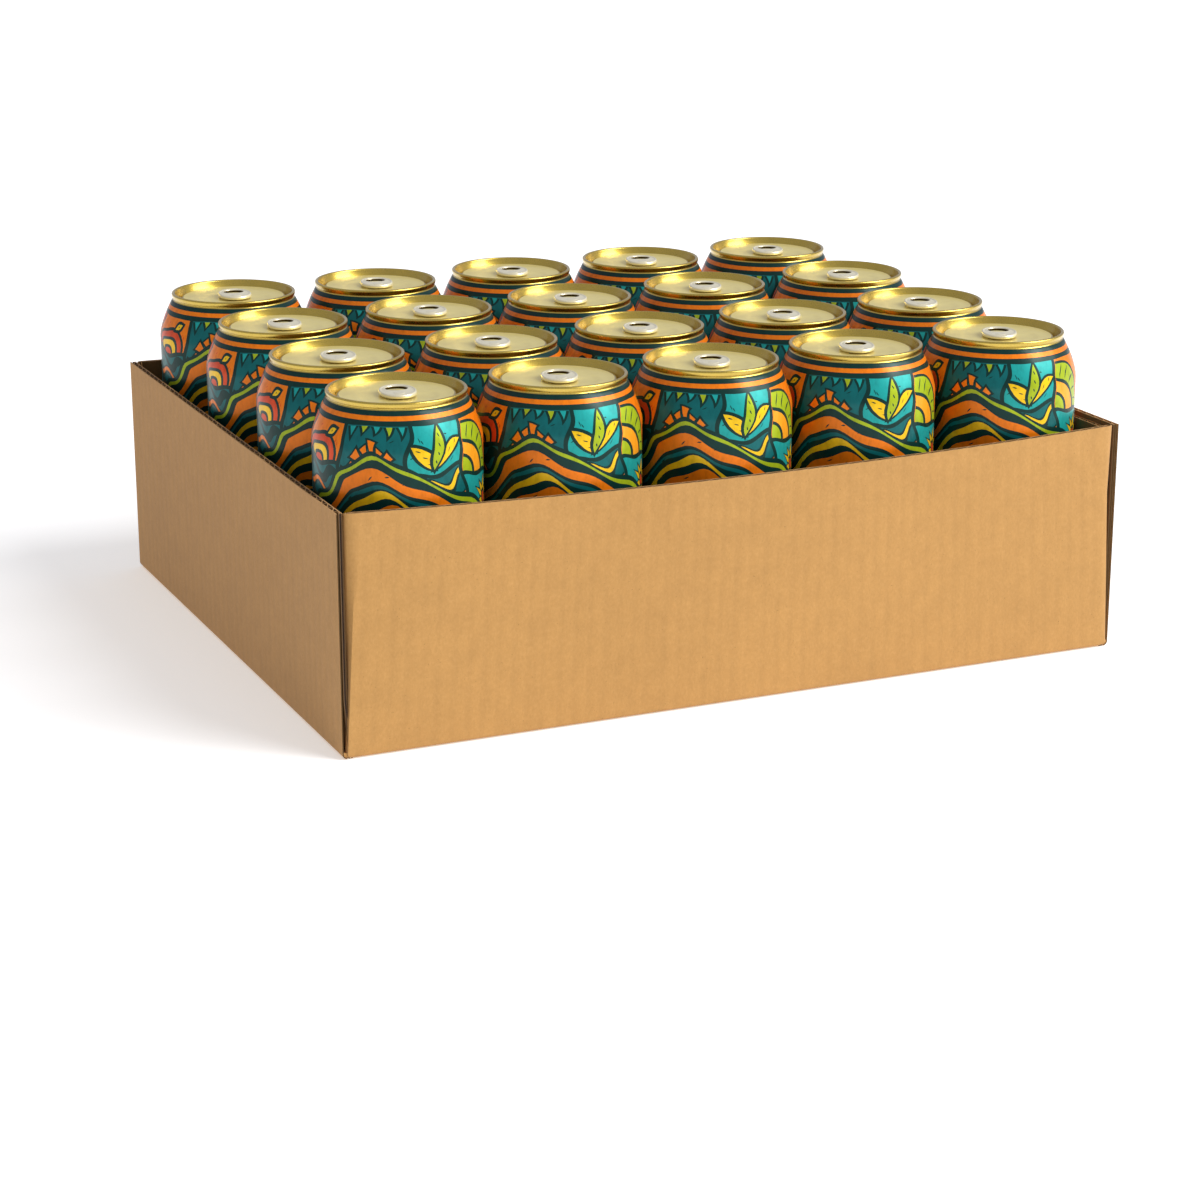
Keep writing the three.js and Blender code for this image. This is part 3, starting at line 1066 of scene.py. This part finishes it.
def resampled(line, spacing):
    """The same line with points evenly spaced along it, and their distances."""
    line = np.array(line, float)
    along = distances(line)
    count = max(2, int(round(along[-1] / spacing)) + 1)
    wanted = np.linspace(0, along[-1], count)
    return np.stack([np.interp(wanted, along, line[:, k]) for k in (0, 1)], 1), wanted


def left_normals(line):
    """Unit normals to the left of the way along a line."""
    ahead = np.gradient(line, axis=0)
    ahead /= np.linalg.norm(ahead, axis=1)[:, None]
    return np.stack([-ahead[:, 1], ahead[:, 0]], 1)


def long_wall_line(share_up):
    """The outer face of the front wall and its two flaps in plan, at a share of the wall's height."""
    end_x = HALF_WIDTH - END_INSET_BOTTOM - (END_INSET_TOP - END_INSET_BOTTOM) * share_up
    flap_x = HALF_WIDTH - BOARD - 0.02
    front = -HALF_DEPTH
    flap_end = front + FLAP_LENGTH - FLAP_SLANT * share_up
    left = [(-flap_x, flap_end), (-flap_x, front + 6), (-flap_x, front + 3.4)]
    left += arc(FOLD_RADIUS - end_x, front + FOLD_RADIUS, FOLD_RADIUS, 180, 270, 5)
    middle = []
    for x in np.linspace(-end_x + 4, end_x - 4, 40):
        bow = WALL_BOW * share_up * (1 - (x / HALF_WIDTH) ** 2)
        middle.append((float(x), front - bow))
    return left + middle + [(-x, y) for x, y in reversed(left)]


def wall_top(x):
    return WALL_TOP - WALL_DIP * max(0.0, 1 - (x / HALF_WIDTH) ** 2)


class BoardParts:
    """Closed sheets of board gathered into one mesh with board coordinates for the grain."""

    def __init__(self):
        self.points, self.grain, self.faces, self.shades = [], [], [], []

    def sheet(self, outer, inner, grain, shade):
        """A closed sheet between two grids of points [row][column], with raw upright ends."""
        base = len(self.points)
        rows, columns = len(outer), len(outer[0])
        for grid in (outer, inner):
            for row in range(rows):
                for column in range(columns):
                    self.points.append(tuple(grid[row][column]))
                    self.grain.append(grain[row][column])
        size = rows * columns

        def at(row, column):
            return base + row * columns + column

        def add_edge(near, far, flip, material):
            quad = (near, near + size, far + size, far)
            self.faces.append(quad[::-1] if flip else quad)
            self.shades.append(material)

        for row in range(rows - 1):
            for column in range(columns - 1):
                a, b = at(row, column), at(row, column + 1)
                c, d = at(row + 1, column + 1), at(row + 1, column)
                self.faces += [(a, b, c, d), (d + size, c + size, b + size, a + size)]
                self.shades += [shade, shade]
        # Upright raw ends take material 2, darkened as painted shade; top and bottom edges take the outside
        # liner's material.
        for row in range(rows - 1):
            add_edge(at(row, 0), at(row + 1, 0), True, 2)
            add_edge(at(row, columns - 1), at(row + 1, columns - 1), False, 2)
        for column in range(columns - 1):
            add_edge(at(0, column), at(0, column + 1), False, 0)
            add_edge(at(rows - 1, column), at(rows - 1, column + 1), True, 0)


def corrugated(board, line_at, bottom_at, top_at, folded, turn):
    """One wall: outer liner, inner liner and the wave between them, turned round Z by turn."""
    def surface(spacing, heights, depth, swing):
        """A grid of points at a depth below the outer face, which waves by swing."""
        low, along = resampled(line_at(0.0), spacing)
        high, _ = resampled(line_at(1.0), spacing)
        count = min(len(low), len(high))
        low = low[np.linspace(0, len(low) - 1, count).round().astype(int)]
        high = high[np.linspace(0, len(high) - 1, count).round().astype(int)]
        along = np.linspace(0, along[-1], count)
        depths = depth + swing * np.sin(math.tau * along / FLUTE)
        bottom = np.array([bottom_at(*place) for place in high])
        top = np.array([top_at(*place) for place in high])
        grid, grain = [], []
        for share in heights:
            z = bottom + (top - bottom) * share
            up = (z / WALL_TOP)[:, None]
            plan = low * (1 - up) + high * up
            pull = BOTTOM_FOLD - np.sqrt(BOTTOM_FOLD ** 2 - np.maximum(0, BOTTOM_FOLD - z) ** 2)
            from_fold = np.hypot(np.abs(plan[:, 0]) - HALF_WIDTH, plan[:, 1] + HALF_DEPTH)
            crushed = 1 - (FOLD_CRUSH if folded else 0) * np.exp(-(from_fold / 4) ** 2)
            plan += left_normals(plan) * (depths * crushed + pull)[:, None]
            grid.append([turn @ Vector((*place, height)) for place, height in zip(plan, z)])
            grain.append(list(zip(along * MM, z * MM)))
        return grid, grain

    fine = [0, 0.004, 0.009, 0.015, 0.022, 0.1, 0.25, 0.4, 0.55, 0.7, 0.85, 1]
    coarse = [0, 0.25, 0.5, 0.75, 1]
    swing = BOARD / 2 - LINER - MEDIUM / 2 + 0.02
    # The inner liner and the wave take material 1, darkened as painted shade inside the tray.
    layers = [
        (SHEET_SPACING, fine, 0.0, LINER, 0.0, 0),
        (SHEET_SPACING, coarse, BOARD - LINER, BOARD, 0.0, 1),
        (WAVE_SPACING, coarse, (BOARD - MEDIUM) / 2, (BOARD + MEDIUM) / 2, swing, 1),
    ]
    for spacing, heights, near, far, wave, shade in layers:
        outer, grain = surface(spacing, heights, near, wave)
        inner, _ = surface(spacing, heights, far, wave)
        board.sheet(outer, inner, grain, shade)


def long_wall_bottom(x, y):
    """Where a long wall's board starts: in the floor's fold, higher at its corners and flaps."""
    if y > -HALF_DEPTH + 4:
        return FLAP_BOTTOM
    past = abs(x) - (HALF_WIDTH - END_INSET_TOP - CORNER_LENGTH)
    return WALL_BOTTOM + CORNER_RISE * min(1.0, max(0.0, past / CORNER_LENGTH))


def long_wall_top(x, y):
    """A long wall's top edge, lower along its flaps."""
    return wall_top(x) - FLAP_TOP_DROP * smooth_step(y + HALF_DEPTH, 1.5, 4.5)


def side_wall_line(_share_up):
    end = HALF_DEPTH - RAW_EDGE_SETBACK
    return [(-HALF_WIDTH, y) for y in np.linspace(end, -end, 30)]


def floor_slab(board):
    """The floor between the folds, its bottom edges rounded like the folds round it."""
    half_x, half_y = HALF_WIDTH, HALF_DEPTH - RAW_EDGE_SETBACK
    base = len(board.points)
    rings = 6
    for turn in np.linspace(math.pi / 2, 0, rings):
        inset, height = BOARD * (1 - math.sin(turn)), BOARD * (1 - math.cos(turn))
        for side_x, side_y in CORNERS:
            x, y = side_x * (half_x - inset), side_y * (half_y - 0.4 * inset)
            board.points.append((x, y, height))
            board.grain.append((x * MM, y * MM))
    board.faces += [[base + i for i in reversed(face)] for face in ring_faces(rings, 4)]
    last = base + 4 * (rings - 1)
    board.faces += [(last + 3, last + 2, last + 1, last), (base, base + 1, base + 2, base + 3)]
    board.shades += [0] * (len(board.faces) - len(board.shades))


def tray_mesh(materials):
    """The tray with the materials outer liner, inner liner and raw edge. The inner liner, the wave and the
    raw upright ends are darkened as painted shade.
    """
    board = BoardParts()
    for degrees in (0, 180):
        turn = Matrix.Rotation(math.radians(degrees), 3, "Z")
        corrugated(board, long_wall_line, long_wall_bottom, long_wall_top, True, turn)
        corrugated(board, side_wall_line, lambda x, y: WALL_BOTTOM, lambda x, y: WALL_TOP, False, turn)
    floor_slab(board)
    mesh = smooth_mesh("board_tray", board.points, board.faces, materials, board.shades)
    uv = mesh.uv_layers.new(name="board")
    corners = np.zeros(len(mesh.loops), np.int32)
    mesh.loops.foreach_get("vertex_index", corners)
    uv.data.foreach_set("uv", np.array(board.grain, float)[corners].ravel())
    mesh.update()
    mesh.set_sharp_from_angle(angle=math.radians(35))
    return mesh


# Pieces in the frame

def place_piece(name, mesh, place, node):
    piece = new_object(name, mesh)
    piece.location = place
    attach(piece, "root")
    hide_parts(node)


def turned(mesh, matrix):
    """A copy of a mesh, turned in itself so that its own box stays true."""
    copy = mesh.copy()
    copy.transform(matrix)
    return copy


def build_cans():
    brass = gold_material("gold_seam", (0.62, 0.44, 0.07), 1.0, 0.28, 0.7)
    # The end panel's paler gold is a lit copy of the seam's gold: painted light on the panel's upward face.
    pale = gold_material("gold_panel_painted_light", (0.97, 0.80, 0.29), 0.6, 0.40, 0.2)
    # Dark gold for the finger well and the tab's hole wall: painted shade.
    well = gold_material("gold_well_painted_shade", (0.14, 0.09, 0.02), 1.0, 0.55, 0.0)
    can = can_mesh([print_material(), brass, pale, well])
    tab = tab_mesh([gold_material("gold_tab", (0.95, 0.86, 0.60), 0.5, 0.30, 0.4), well])
    for row in range(1, ROWS + 1):
        for column in range(1, COLUMNS + 1):
            key = f"r{row}_c{column}"
            low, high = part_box(f"can_{key}")
            middle = (low + high) / 2
            degrees = MIDDLE_TURN + TURN_PER_COLUMN * (column - 3) + TURN_PER_ROW * (row - 1)
            turn = Matrix.Rotation(-math.radians(degrees), 4, "Z")
            base = (middle.x, middle.y, low.z)
            place_piece(f"printed_can_{key}", turned(can, turn), base, f"can_{key}")
            seat = (middle.x, middle.y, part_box(f"tab_{key}")[0].z)
            place_piece(f"ring_tab_{key}", turned(tab, turn), seat, f"tab_{key}")


def build_tray():
    # The inside and raw edge tones darken the kraft: painted shade inside the tray and at the raw ends.
    tones = {"kraft_outside": 1.0, "kraft_inside_painted_shade": 0.36, "kraft_raw_edge_painted_shade": 0.2}
    mesh = tray_mesh([kraft_material(name, tone) for name, tone in tones.items()])
    place_piece("board_tray", mesh, (0, 0, 0), "tray")


bpy.context.scene.view_settings.view_transform = "Standard"
add_camera()
add_world()
add_floor()
add_light("key_light", "SUN", (0, 0, 0), (-0.62, 0.62, -0.80), energy=1.9, angle=0.55)
add_light("side_softbox", "AREA", (1.3, -0.9, 0.9), (0, 0, 0.1),
          shape="RECTANGLE", size=1.2, size_y=0.8, energy=14)
build_tray()
build_cans()
